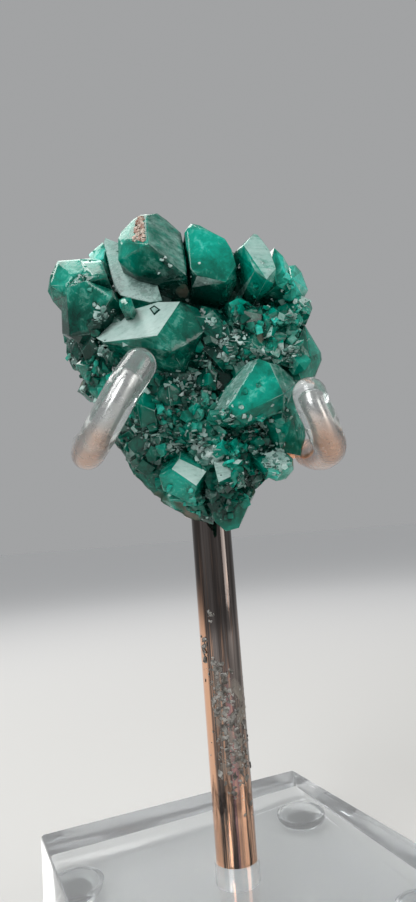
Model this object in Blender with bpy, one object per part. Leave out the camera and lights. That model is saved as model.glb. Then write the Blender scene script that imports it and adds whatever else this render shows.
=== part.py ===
# Dioptase specimen gripped by a three-armed display stand.
# Units are metres, +Z is up. The origin is on the table, under the middle of the acrylic block.
import math
import random

import bmesh
import bpy
from mathutils import Matrix, Vector, noise
from mathutils.bvhtree import BVHTree

MM = 0.001

# Driving dimensions of the stand
BLOCK_SIDE = 38.1 * MM
BLOCK_THICKNESS = 9.5 * MM
BLOCK_BEVEL = 0.4 * MM
FOOT_RADIUS = 3.2 * MM
FOOT_HEIGHT = 1.8 * MM
FOOT_REACH = (15.4 * MM, 12.0 * MM)
POST_RADIUS = 2.38 * MM
POST_DEPTH_IN_BLOCK = 6.0 * MM
WIRE_RADIUS = 0.8 * MM
SLEEVE_RADIUS = 1.8 * MM
SLEEVE_BORE_RADIUS = 1.0 * MM
HUB_RADIUS = 3.3 * MM
HUB_HEIGHT = 4.6 * MM
HUB_BOTTOM = 50.2 * MM
HUB_GRIP = 2.4 * MM
SOCKET_DEPTH = 1.6 * MM
GAP = 0.2 * MM

# Driving dimensions of the cluster, which is about 32 mm wide and 37 mm tall
CLUSTER_MIDDLE = Vector((-3.75, -4.6, 67.1)) * MM
FACE_TURN = math.radians(-24.1)
FACE_LEAN = math.radians(8.0)
FACE_ROLL = math.radians(4.4)
SIGHT_POINT = Vector((2.6, -9.3, 73.0))
TIP_SLOPE = math.radians(51.0)
SEED = 7

BLOCK_TOP = FOOT_HEIGHT + BLOCK_THICKNESS
FACE = (
    Matrix.Rotation(FACE_TURN, 4, "Z")
    @ Matrix.Rotation(FACE_LEAN, 4, "X")
    @ Matrix.Rotation(FACE_ROLL, 4, "Y")
)


# Places on the cluster
# The cluster's face is laid out in millimetres: across to the right, up, and out
# towards a sight point 73 mm in front of it, so that crystals overlap as they do by eye.
def laid_out(across, up, out):
    flat = Vector((across, up, 0))
    return flat + (SIGHT_POINT - flat) * (out / SIGHT_POINT.z)


def on_face(across, up, out):
    spot = laid_out(across, up, out)
    return CLUSTER_MIDDLE + FACE @ (Vector((spot.x, -spot.z, spot.y)) * MM)


def face_direction(across, up, out):
    return (FACE.to_3x3() @ Vector((across, -out, up))).normalized()


# Scene and materials
def clear_scene():
    for old in list(bpy.data.objects):
        bpy.data.objects.remove(old)


def material(name, colour, roughness, metallic=0.0, transmission=0.0, ior=1.5):
    made = bpy.data.materials.new(name)
    made.use_nodes = True
    shader = made.node_tree.nodes["Principled BSDF"]
    shader.inputs["Base Color"].default_value = (*colour, 1)
    shader.inputs["Roughness"].default_value = roughness
    shader.inputs["Metallic"].default_value = metallic
    shader.inputs["Transmission Weight"].default_value = transmission
    shader.inputs["IOR"].default_value = ior
    made.diffuse_color = (*colour, 1)
    return made


def object_from(bm, name, finish=None):
    bmesh.ops.recalc_face_normals(bm, faces=bm.faces[:])
    mesh = bpy.data.meshes.new(name)
    bm.to_mesh(mesh)
    bm.free()
    made = bpy.data.objects.new(name, mesh)
    bpy.context.scene.collection.objects.link(made)
    if finish:
        mesh.materials.append(finish)
    return made


def helper(obj):
    obj.hide_render = True
    obj.display_type = "WIRE"
    return obj


def cut_away(obj, cutter):
    step = obj.modifiers.new("cut", "BOOLEAN")
    step.operation = "DIFFERENCE"
    step.object = helper(cutter)


# Crystals
def hull_of(points):
    bm = bmesh.new()
    for point in points:
        bm.verts.new(point)
    made = bmesh.ops.convex_hull(bm, input=bm.verts[:])
    loose = {e for e in made["geom_interior"] + made["geom_unused"] if isinstance(e, bmesh.types.BMVert)}
    bmesh.ops.delete(bm, geom=list(loose), context="VERTS")
    flat_within = math.radians(4)
    bmesh.ops.dissolve_limit(bm, angle_limit=flat_within, verts=bm.verts[:], edges=bm.edges[:])
    return bm


def large_crystal(corners, root):
    """A crystal given by the corners of its exposed faces, and by how far its prism runs back into the mass."""
    exposed = [on_face(*corner) for corner in corners]
    back = (on_face(*root) - on_face(0, 0, 0))
    return hull_of(exposed + [corner + back for corner in exposed])


def prism_crystal(foot, axis, radius, length, twist, stretch=1.0):
    """A six-sided prism under the three sloping faces that end every dioptase crystal."""
    up = axis.normalized()
    side = up.orthogonal().normalized()
    side = Matrix.Rotation(twist, 3, up) @ side
    other = up.cross(side)
    drop = radius * math.tan(TIP_SLOPE) * 0.5
    tip = foot + up * length
    points = [tip]
    for corner in range(6):
        turn = math.radians(60 * corner)
        ring = side * math.cos(turn) * stretch + other * math.sin(turn)
        shoulder = tip - up * (drop if corner % 2 else 2 * drop)
        points.append(shoulder + ring * radius)
        points.append(foot - up * radius + ring * radius)
    return hull_of(points)


# Corners of the crystals that can be told apart by eye: across, up and out in millimetres
LARGE_CRYSTALS = {
    "crown_left": dict(
        corners=[
            (-4.4, 15.1, 8.0), (-7.7, 15.3, 5.0), (-4.6, 18.5, 5.2), (-8.0, 15.7, 4.33),
            (-7.6, 16.5, 4.02), (-6.2, 18.0, 4.19), (-5.3, 18.5, 4.56), (-0.0, 11.4, 6.4),
            (-3.4, 18.7, 3.67), (-2.4, 18.0, 3.03), (-0.6, 16.4, 2.47), (-0.3, 15.1, 3.32),
            (0.0, 13.4, 4.56), (-8.0, 13.2, 4.9), (-0.2, 10.9, 5.8), (-5.7, 11.2, 3.89),
            (-3.4, 10.5, 4.17),
        ],
        root=(1.0, -3.0, -9.0),
    ),
    "crown_middle": dict(
        corners=[
            (0.1, 16.9, 3.4), (5.4, 14.4, 4.2), (1.3, 11.3, 5.6), (-0.2, 16.4, 3.66),
            (2.9, 16.5, 3.43), (4.6, 15.7, 3.7), (5.9, 12.6, 4.88), (4.7, 10.6, 5.72),
            (0.5, 12.2, 5.27), (3.1, 8.5, 2.8), (0.7, 9.9, 4.09), (4.9, 8.6, 3.12),
            (0.6, 17.5, 2.4), (1.6, 17.3, 2.4), (6.0, 10.8, 3.4), (5.9, 12.2, 4.0),
            (5.4, 9.2, 2.4),
        ],
        root=(-0.6, -3.0, -9.0),
    ),
    "crown_blade": dict(
        corners=[
            (6.8, 14.9, 4.6), (9.5, 10.9, 6.4), (9.0, 15.5, 3.6), (8.0, 16.3, 3.38),
            (8.4, 16.2, 3.34), (9.8, 14.4, 4.14), (10.6, 12.2, 5.29), (8.1, 11.9, 6.1),
            (7.5, 13.4, 5.4), (9.1, 10.8, 6.1), (5.7, 14.1, 2.8), (6.9, 10.7, 3.27),
            (6.2, 11.3, 2.45), (5.9, 12.6, 2.49), (10.4, 10.4, 4.0), (8.9, 9.9, 4.6),
        ],
        root=(-1.5, -3.5, -7.5),
    ),
    "crown_right": dict(
        corners=[
            (10.4, 14.6, 1.7), (11.4, 13.7, 1.6), (12.1, 12.5, 1.5), (12.0, 10.6, 3.9),
            (10.7, 10.2, 4.2), (9.9, 12.6, 3.0), (12.2, 9.2, 3.0),
        ],
        root=(-3.0, -2.5, -6.0),
    ),
    "bright_shoulder": dict(
        corners=[
            (12.0, 12.5, 0.9), (12.9, 12.6, 0.5), (13.6, 11.8, 0.3), (14.4, 9.6, 0.4),
            (13.9, 8.7, 0.8), (12.3, 8.5, 2.6), (11.4, 9.7, 3.0), (12.5, 11.0, 3.9),
        ],
        root=(-4.0, -2.5, -6.0),
    ),
    "right_cap": dict(
        corners=[
            (12.8, 8.8, 2.5), (13.6, 9.0, 1.8), (14.6, 8.5, 1.0), (14.9, 7.5, 1.4),
            (14.6, 6.7, 3.2), (13.2, 7.4, 4.0), (14.1, 5.5, 1.2), (12.9, 6.0, 2.2),
        ],
        root=(-5.0, -1.0, -4.5),
    ),
    "right_block": dict(
        corners=[
            (11.2, 7.3, 4.0), (12.2, 7.5, 3.7), (13.6, 6.6, 4.0), (13.5, 5.7, 4.9),
            (11.5, 6.1, 5.0), (13.2, 4.8, 3.4), (11.6, 5.0, 3.6),
        ],
        root=(-4.0, -1.0, -4.5),
    ),
    "tucked_plate": dict(
        corners=[
            (-9.7, 15.3, 0.4), (-7.7, 9.0, 3.2), (-2.8, 8.4, 4.2), (-9.5, 15.8, 0.21),
            (-9.0, 15.5, 0.4), (-7.7, 15.1, 0.77), (-9.5, 14.1, 0.89), (-8.9, 11.9, 1.87),
            (-8.4, 9.8, 2.81), (-6.1, 9.0, 3.46), (-4.3, 8.2, 4.04), (-3.4, 10.3, 3.38),
        ],
        root=(1.5, -3.5, -3.0),
    ),
    "left_shoulder": dict(
        corners=[
            (-15.1, 13.1, 2.2), (-13.2, 11.4, 4.4), (-16.0, 10.2, 3.8), (-14.1, 10.1, 4.82),
            (-16.0, 11.4, 2.91), (-12.5, 13.3, 2.0), (-12.0, 12.0, 3.71), (-12.0, 10.4, 5.0),
            (-16.3, 9.5, 2.4), (-15.7, 8.3, 1.8), (-14.1, 8.9, 4.6),
        ],
        root=(3.5, -4.5, -5.0),
    ),
    "left_block": dict(
        corners=[
            (-12.1, 12.9, 2.4), (-10.0, 13.2, 2.0), (-10.8, 11.3, 4.6), (-9.3, 11.2, 4.71),
            (-12.0, 11.8, 4.01), (-12.5, 13.3, 1.4), (-9.9, 13.4, 1.0), (-9.3, 11.3, 3.6),
            (-9.3, 9.7, 3.8), (-12.0, 10.4, 4.4),
        ],
        root=(2.0, -5.5, -4.0),
    ),
    "left_peak": dict(
        corners=[
            (-11.5, 13.8, 0.6), (-10.5, 14.7, 0.2), (-9.8, 15.3, -0.2), (-9.5, 14.6, 0.6),
            (-9.7, 13.3, 1.9), (-11.1, 13.0, 1.8), (-9.1, 11.6, 0.9),
        ],
        root=(2.5, -4.5, -4.0),
    ),
    "left_flank": dict(
        corners=[
            (-14.1, 9.9, 4.8), (-11.8, 10.8, 5.4), (-11.1, 4.9, 5.2), (-13.7, 4.2, 4.56),
            (-8.7, 8.9, 5.98), (-14.6, 4.5, 2.2), (-14.7, 7.5, 2.68), (-8.7, 9.7, 3.8),
            (-9.2, 5.9, 3.8), (-11.1, 4.5, 5.0),
        ],
        root=(3.0, -3.0, -6.0),
    ),
    "great_prism": dict(
        corners=[
            (-3.4, 4.3, 9.0), (-10.6, 4.0, 5.0), (-0.7, 8.3, 5.6), (-6.3, 8.0, 2.39),
            (-4.3, 8.2, 3.47), (-2.1, 6.3, 7.27), (-5.1, 4.0, 8.36), (-9.7, 3.5, 6.27),
            (-9.5, 5.2, 4.14), (-8.0, 6.2, 3.75), (-7.0, 6.7, 3.71), (2.5, 5.2, 5.0),
            (1.4, 7.5, 4.58), (1.2, 3.9, 6.42), (-1.6, 2.4, 8.8), (-2.9, 0.8, 5.6),
            (-7.5, 2.2, 5.26),
        ],
        root=(2.0, -3.5, -8.0),
    ),
    "bright_pyramid": dict(
        corners=[
            (8.5, 1.6, 6.0), (11.5, -2.6, 7.6), (4.6, -4.5, 7.8), (9.9, 1.0, 6.3),
            (10.6, -0.4, 6.82), (7.5, -3.9, 7.78), (5.8, -5.3, 8.13), (6.3, -2.6, 7.3),
            (3.1, -3.9, 5.4), (7.3, 1.2, 5.09), (5.8, -0.3, 4.81), (4.4, -2.3, 5.33),
            (3.3, -4.5, 6.36), (12.6, -0.6, 3.6), (11.5, -2.3, 7.2), (10.9, 0.8, 4.87),
            (12.9, -1.4, 3.95), (3.1, -5.9, 6.4), (6.9, -6.1, 7.4), (11.5, -4.7, 6.0),
            (12.2, -3.3, 5.2),
        ],
        root=(-1.0, -2.0, -7.0),
    ),
    "perched": dict(
        corners=[
            (-7.9, 8.5, 6.4), (-7.3, 8.8, 6.2), (-7.7, 7.5, 7.2), (-6.5, 8.8, 6.0),
            (-6.3, 8.1, 6.4), (-6.7, 7.4, 7.2), (-6.9, 8.1, 7.6), (-7.9, 7.8, 6.4),
            (-7.2, 7.1, 6.6), (-6.5, 7.3, 6.6),
        ],
        root=(0.5, -1.5, -4.0),
    ),
    "right_bulge": dict(
        corners=[
            (14.0, 5.5, 1.6), (14.7, 3.9, 1.0), (15.9, 2.3, 0.8), (16.0, 1.4, 0.8),
            (15.6, 0.6, 1.0), (15.2, -0.6, 1.2), (13.6, -1.0, 3.4), (12.8, 1.0, 4.6),
            (13.2, 3.6, 3.8), (14.6, 1.8, 3.9),
        ],
        root=(-5.0, 0.0, -5.0),
    ),
    "right_lower": dict(
        corners=[
            (11.0, -3.0, 3.5), (13.4, -4.0, 2.2), (14.0, -6.0, 2.0), (14.1, -7.6, 1.8),
            (13.5, -9.9, 2.2), (11.2, -9.4, 4.6), (10.6, -6.0, 5.4), (12.6, -5.2, 4.6),
        ],
        root=(-4.5, 0.5, -6.0),
    ),
    "nodule": dict(
        corners=[
            (4.8, 8.1, 4.0), (6.2, 8.9, 3.6), (7.5, 8.0, 4.4), (8.2, 7.5, 4.4),
            (10.1, 6.5, 3.8), (9.5, 4.9, 4.4), (7.5, 5.0, 5.4), (5.7, 5.8, 5.4), (6.3, 7.4, 5.5),
        ],
        root=(-1.0, -1.0, -6.0),
    ),
    "white_step": dict(
        corners=[
            (-0.8, -10.2, 6.2), (2.4, -11.7, 6.6), (1.2, -13.4, 8.4), (-1.7, -11.4, 7.54),
            (-2.7, -14.0, 6.4), (-3.2, -12.2, 6.92), (0.5, -15.5, 7.21), (2.5, -13.7, 5.0),
        ],
        root=(0.3, 1.2, -4.5),
    ),
    "frosted_knob": dict(
        corners=[
            (8.8, -10.7, 6.4), (9.9, -9.4, 5.0), (11.5, -9.2, 4.6), (12.6, -10.2, 4.8),
            (12.1, -11.0, 6.4), (9.9, -11.8, 7.0), (9.3, -12.2, 6.4), (10.6, -13.0, 4.4),
            (11.8, -12.7, 3.8), (12.7, -11.5, 4.0),
        ],
        root=(-3.0, 2.0, -6.0),
    ),
    "small_block": dict(
        corners=[
            (3.6, -12.4, 7.8), (5.5, -12.2, 7.8), (5.4, -12.9, 8.6), (3.8, -13.0, 8.6),
            (3.4, -14.0, 6.8), (4.6, -14.7, 6.0), (5.6, -14.0, 6.6),
        ],
        root=(-0.5, 2.5, -5.5),
    ),
    "small_turret": dict(
        corners=[
            (5.2, -11.5, 7.4), (6.0, -11.0, 6.8), (6.8, -11.8, 7.0), (6.1, -12.6, 8.0),
            (5.9, -13.9, 6.4), (7.0, -13.5, 6.0),
        ],
        root=(-1.0, 3.0, -5.0),
    ),
    "foot_right": dict(
        corners=[
            (2.7, -14.0, 7.0), (7.7, -14.9, 4.8), (4.7, -18.8, 4.2), (5.3, -13.7, 6.23),
            (6.8, -16.8, 4.27), (6.2, -18.4, 3.8), (3.5, -17.8, 5.09), (2.0, -16.0, 4.4),
            (8.2, -14.1, 3.4),
        ],
        root=(-1.5, 3.5, -1.8),
    ),
    "foot_left": dict(
        corners=[
            (-2.4, -15.1, 5.0), (1.6, -14.8, 6.6), (2.7, -17.1, 4.9), (-1.4, -16.3, 4.15),
            (3.2, -18.0, 3.8), (0.4, -17.4, 3.54), (-3.1, -15.3, 3.4),
        ],
        root=(0.5, 3.5, -1.8),
    ),
}

# Outline of the mass under the crystals: how far it reaches at each angle, in millimetres
MASS_REACH = {
    0: 13.7, 22: 13.9, 45: 14.3, 67: 13.6, 90: 13.2, 112: 14.2, 135: 14.4, 157: 14.2, 172: 14.0,
    183: 11.8, 203: 11.1, 225: 11.9, 247: 13.5, 262: 15.4, 281: 17.4, 292: 16.2, 315: 14.6, 337: 14.0,
}
MASS_FRONT = 5.6
MASS_BACK = 7.4
MASS_RIM = -1.4


def mass_reach(angle):
    """How far the mass reaches at an angle, eased between the stated ones."""
    stated = sorted(MASS_REACH)
    turn = math.degrees(angle) % 360
    after = next((a for a in stated if a > turn), 360)
    before = max(a for a in stated if a <= turn)
    share = (turn - before) / (after - before)
    eased = share * share * (3 - 2 * share)
    return MASS_REACH[before] * (1 - eased) + MASS_REACH[after % 360] * eased


def mass_point(direction):
    """A point of the mass: flattened, thick in the middle, thin at its foot and lumpy all over."""
    angle = math.atan2(direction.y, direction.x)
    spread = math.hypot(direction.x, direction.y)
    reach = mass_reach(angle) * spread**0.8
    across = reach * math.cos(angle)
    up = reach * math.sin(angle)
    depth = MASS_FRONT if direction.z > 0 else MASS_BACK
    out = MASS_RIM + depth * direction.z
    hollow_under_crown = math.exp(-((across - 1.5) ** 2) / 30 - (up - 8.5) ** 2 / 9)
    if direction.z > 0:
        out -= 5.0 * hollow_under_crown * direction.z
    foot_share = min(1, max(0, (-8.0 - up) / 4.0))
    out = out * (1 - foot_share) + (2.8 + 2.2 * direction.z) * foot_share
    spot = Vector((across, up, out))
    lump = noise.noise(spot * 0.16) + 0.5 * noise.noise(spot * 0.4)
    roughness = (1.1 + 1.1 * max(0, -direction.z)) * (1 - 0.6 * foot_share)
    swell = 1 + 0.07 * lump
    return across * swell, up * swell, out + roughness * (lump + 0.35 * noise.noise(spot * 0.9))


def build_mass():
    bm = bmesh.new()
    bmesh.ops.create_icosphere(bm, subdivisions=4, radius=1.0)
    for vert in bm.verts:
        vert.co = on_face(*mass_point(vert.co.normalized()))
    return bm


# Smaller crystals, grown in fields on the mass: middle, spread, count, radius and lean, in millimetres
FIELDS = [
    dict(middle=(0.5, -4.5), spread=(5.5, 5.0), count=40, radius=(0.9, 1.6), rise=(-0.3, 0.5)),
    dict(middle=(7.5, -8.5), spread=(5.5, 4.0), count=30, radius=(1.0, 1.9), rise=(0.0, 0.9)),
    dict(middle=(11.0, 2.5), spread=(2.6, 3.8), count=26, radius=(1.3, 2.4), rise=(0.0, 0.9)),
    dict(middle=(6.5, 3.5), spread=(4.5, 3.2), count=26, radius=(1.2, 2.2), rise=(0.0, 0.9)),
    dict(middle=(-9.5, 0.5), spread=(3.0, 4.0), count=24, radius=(1.1, 2.1), rise=(-0.3, 0.6)),
    dict(middle=(-5.0, -8.0), spread=(4.0, 4.5), count=26, radius=(1.0, 1.9), rise=(-0.4, 0.4)),
]
RIM_CRYSTALS = 24
RIM_START = -15
RIM_SWEEP = 205


def front_of_mass(tree, across, up):
    """Where the sight line through this spot first meets the mass, and the way the mass faces there."""
    eye = on_face(0, 0, SIGHT_POINT.z * 0.999)
    hit, normal, _, _ = tree.ray_cast(eye, (on_face(across, up, 0) - eye).normalized())
    return hit, normal


def under_large_crystal(across, up):
    """Whether a spot lies well inside a large crystal, where a small one would break through its faces."""
    for given in LARGE_CRYSTALS.values():
        corners = [Vector(corner[:2]) for corner in given["corners"]]
        middle = sum(corners, Vector((0, 0))) / len(corners)
        reach = sum((corner - middle).length for corner in corners) / len(corners)
        if (Vector((across, up)) - middle).length < 0.85 * reach:
            return True
    return False


def grow_fields(tree):
    """Crystals standing on the front of the mass, leaning out from it."""
    dice = random.Random(SEED)
    grown = []
    for field in FIELDS:
        for _ in range(field["count"]):
            across = dice.gauss(field["middle"][0], field["spread"][0] * 0.5)
            up = dice.gauss(field["middle"][1], field["spread"][1] * 0.5)
            inside = 0.88 * mass_reach(math.atan2(up, across))
            hit, normal = front_of_mass(tree, across, up)
            if hit is None or math.hypot(across, up) > inside:
                continue
            radius = dice.uniform(*field["radius"]) * MM
            rise = dice.uniform(*field["rise"]) * MM
            jitter = Vector((dice.uniform(-1, 1), dice.uniform(-1, 1), dice.uniform(-1, 1)))
            axis = (normal + face_direction(0, 0.3, 0.4) * 0.5 + jitter * 0.6).normalized()
            twist = dice.uniform(0, math.tau)
            stretch = dice.uniform(0.8, 1.25)
            if under_large_crystal(across, up):
                continue
            grown.append(prism_crystal(hit, axis, radius, radius + rise, twist, stretch))
    return grown


def grow_rim(tree):
    """Crystals round the back edge of the mass, so that the rim is finished from every side."""
    dice = random.Random(SEED + 1)
    grown = []
    for step in range(RIM_CRYSTALS):
        angle = math.radians(RIM_START + RIM_SWEEP * step / (RIM_CRYSTALS - 1))
        depth = dice.uniform(-5.5, -1.5)
        way = Vector((math.cos(angle), math.sin(angle)))
        start = on_face(way.x * 30, way.y * 30, depth)
        inner = on_face(0, 0, depth)
        hit, normal, _, _ = tree.ray_cast(start, (inner - start).normalized())
        if hit is None:
            continue
        radius = dice.uniform(1.1, 2.2) * MM
        axis = (normal + Vector([dice.uniform(-0.4, 0.4) for _ in range(3)])).normalized()
        grown.append(prism_crystal(hit, axis, radius, radius * 0.8, dice.uniform(0, math.tau)))
    return grown


def build_cluster(finish):
    mass = build_mass()
    tree = BVHTree.FromBMesh(mass)
    grown = [large_crystal(**given) for given in LARGE_CRYSTALS.values()]
    grown += grow_fields(tree) + grow_rim(tree)
    cluster = object_from(mass, "dioptase_cluster", finish)
    members = bpy.data.collections.new("crystals")
    bpy.context.scene.collection.children.link(members)
    for index, crystal in enumerate(grown):
        obj = helper(object_from(crystal, f"crystal_{index}"))
        bpy.context.scene.collection.objects.unlink(obj)
        members.objects.link(obj)
    join = cluster.modifiers.new("intergrown", "BOOLEAN")
    join.operation = "UNION"
    join.operand_type = "COLLECTION"
    join.collection = members
    return outer_shell_of(cluster)


def outer_shell_of(obj):
    """The object with its modifiers made real, and without the small voids closed off between its crystals."""
    graph = bpy.context.evaluated_depsgraph_get()
    bm = bmesh.new()
    bm.from_mesh(obj.evaluated_get(graph).to_mesh())
    shells = []
    left = set(bm.verts)
    while left:
        reached = [left.pop()]
        shell = set(reached)
        while reached:
            for edge in reached.pop().link_edges:
                for vert in edge.verts:
                    if vert in left:
                        left.remove(vert)
                        shell.add(vert)
                        reached.append(vert)
        shells.append(shell)
    shells.sort(key=len)
    voids = [vert for shell in shells[:-1] for vert in shell]
    bmesh.ops.delete(bm, geom=voids, context="VERTS")
    obj.modifiers.clear()
    bm.to_mesh(obj.data)
    bm.free()
    return obj


# The stand
def lathe(profile, name, finish, sides=32):
    """A solid turned about +Z from (radius, height) points that start and end on the axis."""
    bm = bmesh.new()
    rings = []
    for radius, height in profile:
        if radius == 0:
            rings.append([bm.verts.new((0, 0, height))])
            continue
        turns = [math.tau * k / sides for k in range(sides)]
        rings.append([bm.verts.new((radius * math.cos(t), radius * math.sin(t), height)) for t in turns])
    join_rings(bm, rings)
    return object_from(bm, name, finish)


def join_rings(bm, rings):
    for low, high in zip(rings, rings[1:]):
        count = max(len(low), len(high))
        for k in range(count):
            after = (k + 1) % count
            corners = [low[k % len(low)], low[after % len(low)], high[after % len(high)], high[k % len(high)]]
            bm.faces.new(list(dict.fromkeys(corners)))


def smooth_path(points, steps):
    """Points read from a smooth curve through the given ones, each span in the same number of steps."""
    ends = [points[0] * 2 - points[1], *points, points[-1] * 2 - points[-2]]
    path = []
    for a, b, c, d in zip(ends, ends[1:], ends[2:], ends[3:]):
        for k in range(steps):
            t = k / steps
            path.append(
                0.5 * (2 * b + (c - a) * t + (2 * a - 5 * b + 4 * c - d) * t**2 + (3 * b - a - 3 * c + d) * t**3)
            )
    return path + [points[-1]]


def stations(path):
    """For each point of a path: the point, and two directions square to the path that don't twist along it."""
    ways = [(b - a).normalized() for a, b in zip(path, path[1:])]
    ways = [ways[0]] + [(a + b).normalized() for a, b in zip(ways, ways[1:])] + [ways[-1]]
    side = ways[0].orthogonal().normalized()
    found = []
    for point, way in zip(path, ways):
        side = (side - way * side.dot(way)).normalized()
        found.append((point, side, way.cross(side), way))
    return found


def ring_at(bm, station, radius, sides, slide=0.0):
    point, side, other, way = station
    middle = point + way * slide
    turns = [math.tau * k / sides for k in range(sides)]
    return [bm.verts.new(middle + side * radius * math.cos(t) + other * radius * math.sin(t)) for t in turns]


def wire(path, name, finish, sides=12):
    """A plain round rod along a path, its front end rounded a little."""
    bm = bmesh.new()
    places = stations(path)
    rings = [[bm.verts.new(path[0])]]
    rings += [ring_at(bm, place, WIRE_RADIUS, sides) for place in places]
    rings.append(ring_at(bm, places[-1], WIRE_RADIUS * 0.7, sides, WIRE_RADIUS * 0.3))
    rings.append([bm.verts.new(path[-1] + places[-1][3] * WIRE_RADIUS * 0.3)])
    join_rings(bm, rings)
    return object_from(bm, name, finish)


def sleeve(path, name, finish, beyond_wire, sides=16):
    """A soft tube over the end of a wire: open at the back, domed over the front."""
    bm = bmesh.new()
    places = stations(path)
    last = places[-1]
    bore_end = GAP + WIRE_RADIUS * 0.3
    rings = [[bm.verts.new(path[-1] + last[3] * (bore_end + 0.25 * MM))]]
    rings.append(ring_at(bm, last, SLEEVE_BORE_RADIUS * 0.8, sides, bore_end))
    rings += [ring_at(bm, place, SLEEVE_BORE_RADIUS, sides) for place in reversed(places)]
    rings.append(ring_at(bm, places[0], SLEEVE_RADIUS - 0.25 * MM, sides))
    rings.append(ring_at(bm, places[0], SLEEVE_RADIUS, sides, 0.25 * MM))
    rings += [ring_at(bm, place, SLEEVE_RADIUS, sides) for place in places[1:]]
    for turn in (0, 22, 45, 65, 80):
        rise = beyond_wire + SLEEVE_RADIUS * math.sin(math.radians(turn))
        rings.append(ring_at(bm, last, SLEEVE_RADIUS * math.cos(math.radians(turn)), sides, rise))
    rings.append([bm.verts.new(path[-1] + last[3] * (beyond_wire + SLEEVE_RADIUS))])
    join_rings(bm, rings)
    return object_from(bm, name, finish)


# Routes of the arms from the hub to their tips, on the cluster's face layout
ARM_ROUTES = {
    "left": dict(
        route=[
            (-1.6, -13.2, -6.4), (-4.8, -10.4, -10.0), (-7.8, -7.6, -11.4), (-10.3, -6.4, -9.2),
            (-11.4, -7.0, -4.8), (-11.6, -8.6, 0.0), (-11.6, -9.6, 5.0), (-11.0, -8.6, 8.6),
            (-10.0, -6.8, 10.3), (-8.6, -4.2, 10.8), (-7.4, -2.0, 10.5), (-6.6, -0.8, 9.9),
        ],
        sleeve_from=5,
        beyond=1.9 * MM,
    ),
    "right": dict(
        route=[
            (6.2, -12.8, -6.6), (9.2, -10.8, -9.4), (12.0, -9.6, -8.8), (14.2, -9.5, -5.6),
            (15.4, -9.8, -1.6), (16.3, -9.6, 2.0), (16.9, -8.8, 5.8), (16.4, -7.2, 8.0),
            (15.7, -5.5, 8.7), (15.0, -4.0, 8.6), (14.7, -3.1, 8.2),
        ],
        sleeve_from=3,
        beyond=0.5 * MM,
    ),
    "back": dict(
        route=[
            (2.5, -13.2, -8.4), (2.4, -11.2, -12.0), (2.2, -7.6, -14.0), (1.8, -3.4, -14.0),
            (1.2, 0.4, -13.0), (0.8, 3.0, -12.0),
        ],
        sleeve_from=3,
        beyond=1.2 * MM,
    ),
}


def build_arm(side, given, hub_middle, metal, clear):
    """One bent wire with its sleeve. The wire starts in a socket of the hub."""
    waypoints = [on_face(*point) for point in given["route"]]
    way_out = (waypoints[0] - hub_middle).normalized()
    start = hub_middle + way_out * (HUB_RADIUS - SOCKET_DEPTH)
    clear_of_hub = hub_middle + way_out * (HUB_RADIUS + 0.8 * MM)
    path = smooth_path([start, clear_of_hub, *waypoints], 3)
    made = wire(path, f"arm_{side}", metal)
    first = (given["sleeve_from"] + 2) * 3
    sleeve(path[first:], f"sleeve_{side}", clear, given["beyond"])
    return start, way_out


def build_hub(metal, sockets):
    """The head on the post: it slips over the post's end and holds the three wires."""
    inside = POST_RADIUS + GAP
    edge = 0.5 * MM
    low, high = HUB_BOTTOM, HUB_BOTTOM + HUB_HEIGHT
    profile = [
        (0, low + HUB_GRIP), (inside, low + HUB_GRIP), (inside, low), (HUB_RADIUS - edge, low),
        (HUB_RADIUS, low + edge), (HUB_RADIUS, high - edge), (HUB_RADIUS - edge, high), (0, high),
    ]
    hub = lathe(profile, "arm_hub", metal)
    for index, (start, way) in enumerate(sockets):
        bm = bmesh.new()
        ends = [start - way * GAP, start + way * 6 * MM]
        rings = [ring_at(bm, place, WIRE_RADIUS + GAP, 16) for place in stations(ends)]
        rings = [[bm.verts.new(ends[0])], *rings, [bm.verts.new(ends[1])]]
        join_rings(bm, rings)
        cut_away(hub, object_from(bm, f"socket_{index}"))
    return hub


def build_post(metal):
    top = HUB_BOTTOM + HUB_GRIP - GAP
    foot = BLOCK_TOP - POST_DEPTH_IN_BLOCK + GAP
    edge = 0.3 * MM
    profile = [
        (0, foot), (POST_RADIUS - edge, foot), (POST_RADIUS, foot + edge),
        (POST_RADIUS, top - edge), (POST_RADIUS - edge, top), (0, top),
    ]
    return lathe(profile, "post", metal, sides=40)


def build_block(clear):
    bm = bmesh.new()
    bmesh.ops.create_cube(bm, size=1.0)
    for vert in bm.verts:
        vert.co.x *= BLOCK_SIDE
        vert.co.y *= BLOCK_SIDE
        vert.co.z = FOOT_HEIGHT + (vert.co.z + 0.5) * BLOCK_THICKNESS
    bmesh.ops.bevel(bm, geom=bm.edges[:], offset=BLOCK_BEVEL, segments=1, affect="EDGES")
    block = object_from(bm, "acrylic_block", clear)
    bore = [
        (0, BLOCK_TOP - POST_DEPTH_IN_BLOCK), (POST_RADIUS + GAP, BLOCK_TOP - POST_DEPTH_IN_BLOCK),
        (POST_RADIUS + GAP, BLOCK_TOP + 5 * MM), (0, BLOCK_TOP + 5 * MM),
    ]
    cut_away(block, lathe(bore, "post_hole", None, sides=40))
    return block


def build_feet(clear):
    """Four clear bumper feet under the corners of the block."""
    edge = 0.5 * MM
    top = FOOT_HEIGHT - 0.05 * MM
    profile = [
        (0, 0), (FOOT_RADIUS - 2 * edge, 0), (FOOT_RADIUS - edge * 0.5, edge * 0.6),
        (FOOT_RADIUS, edge * 1.8), (FOOT_RADIUS, top), (0, top),
    ]
    for index, (x, y) in enumerate([(-1, -1), (1, -1), (1, 1), (-1, 1)]):
        foot = lathe(profile, f"foot_{index + 1}", clear, sides=24)
        foot.location = (x * FOOT_REACH[0], y * FOOT_REACH[1], 0)


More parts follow.
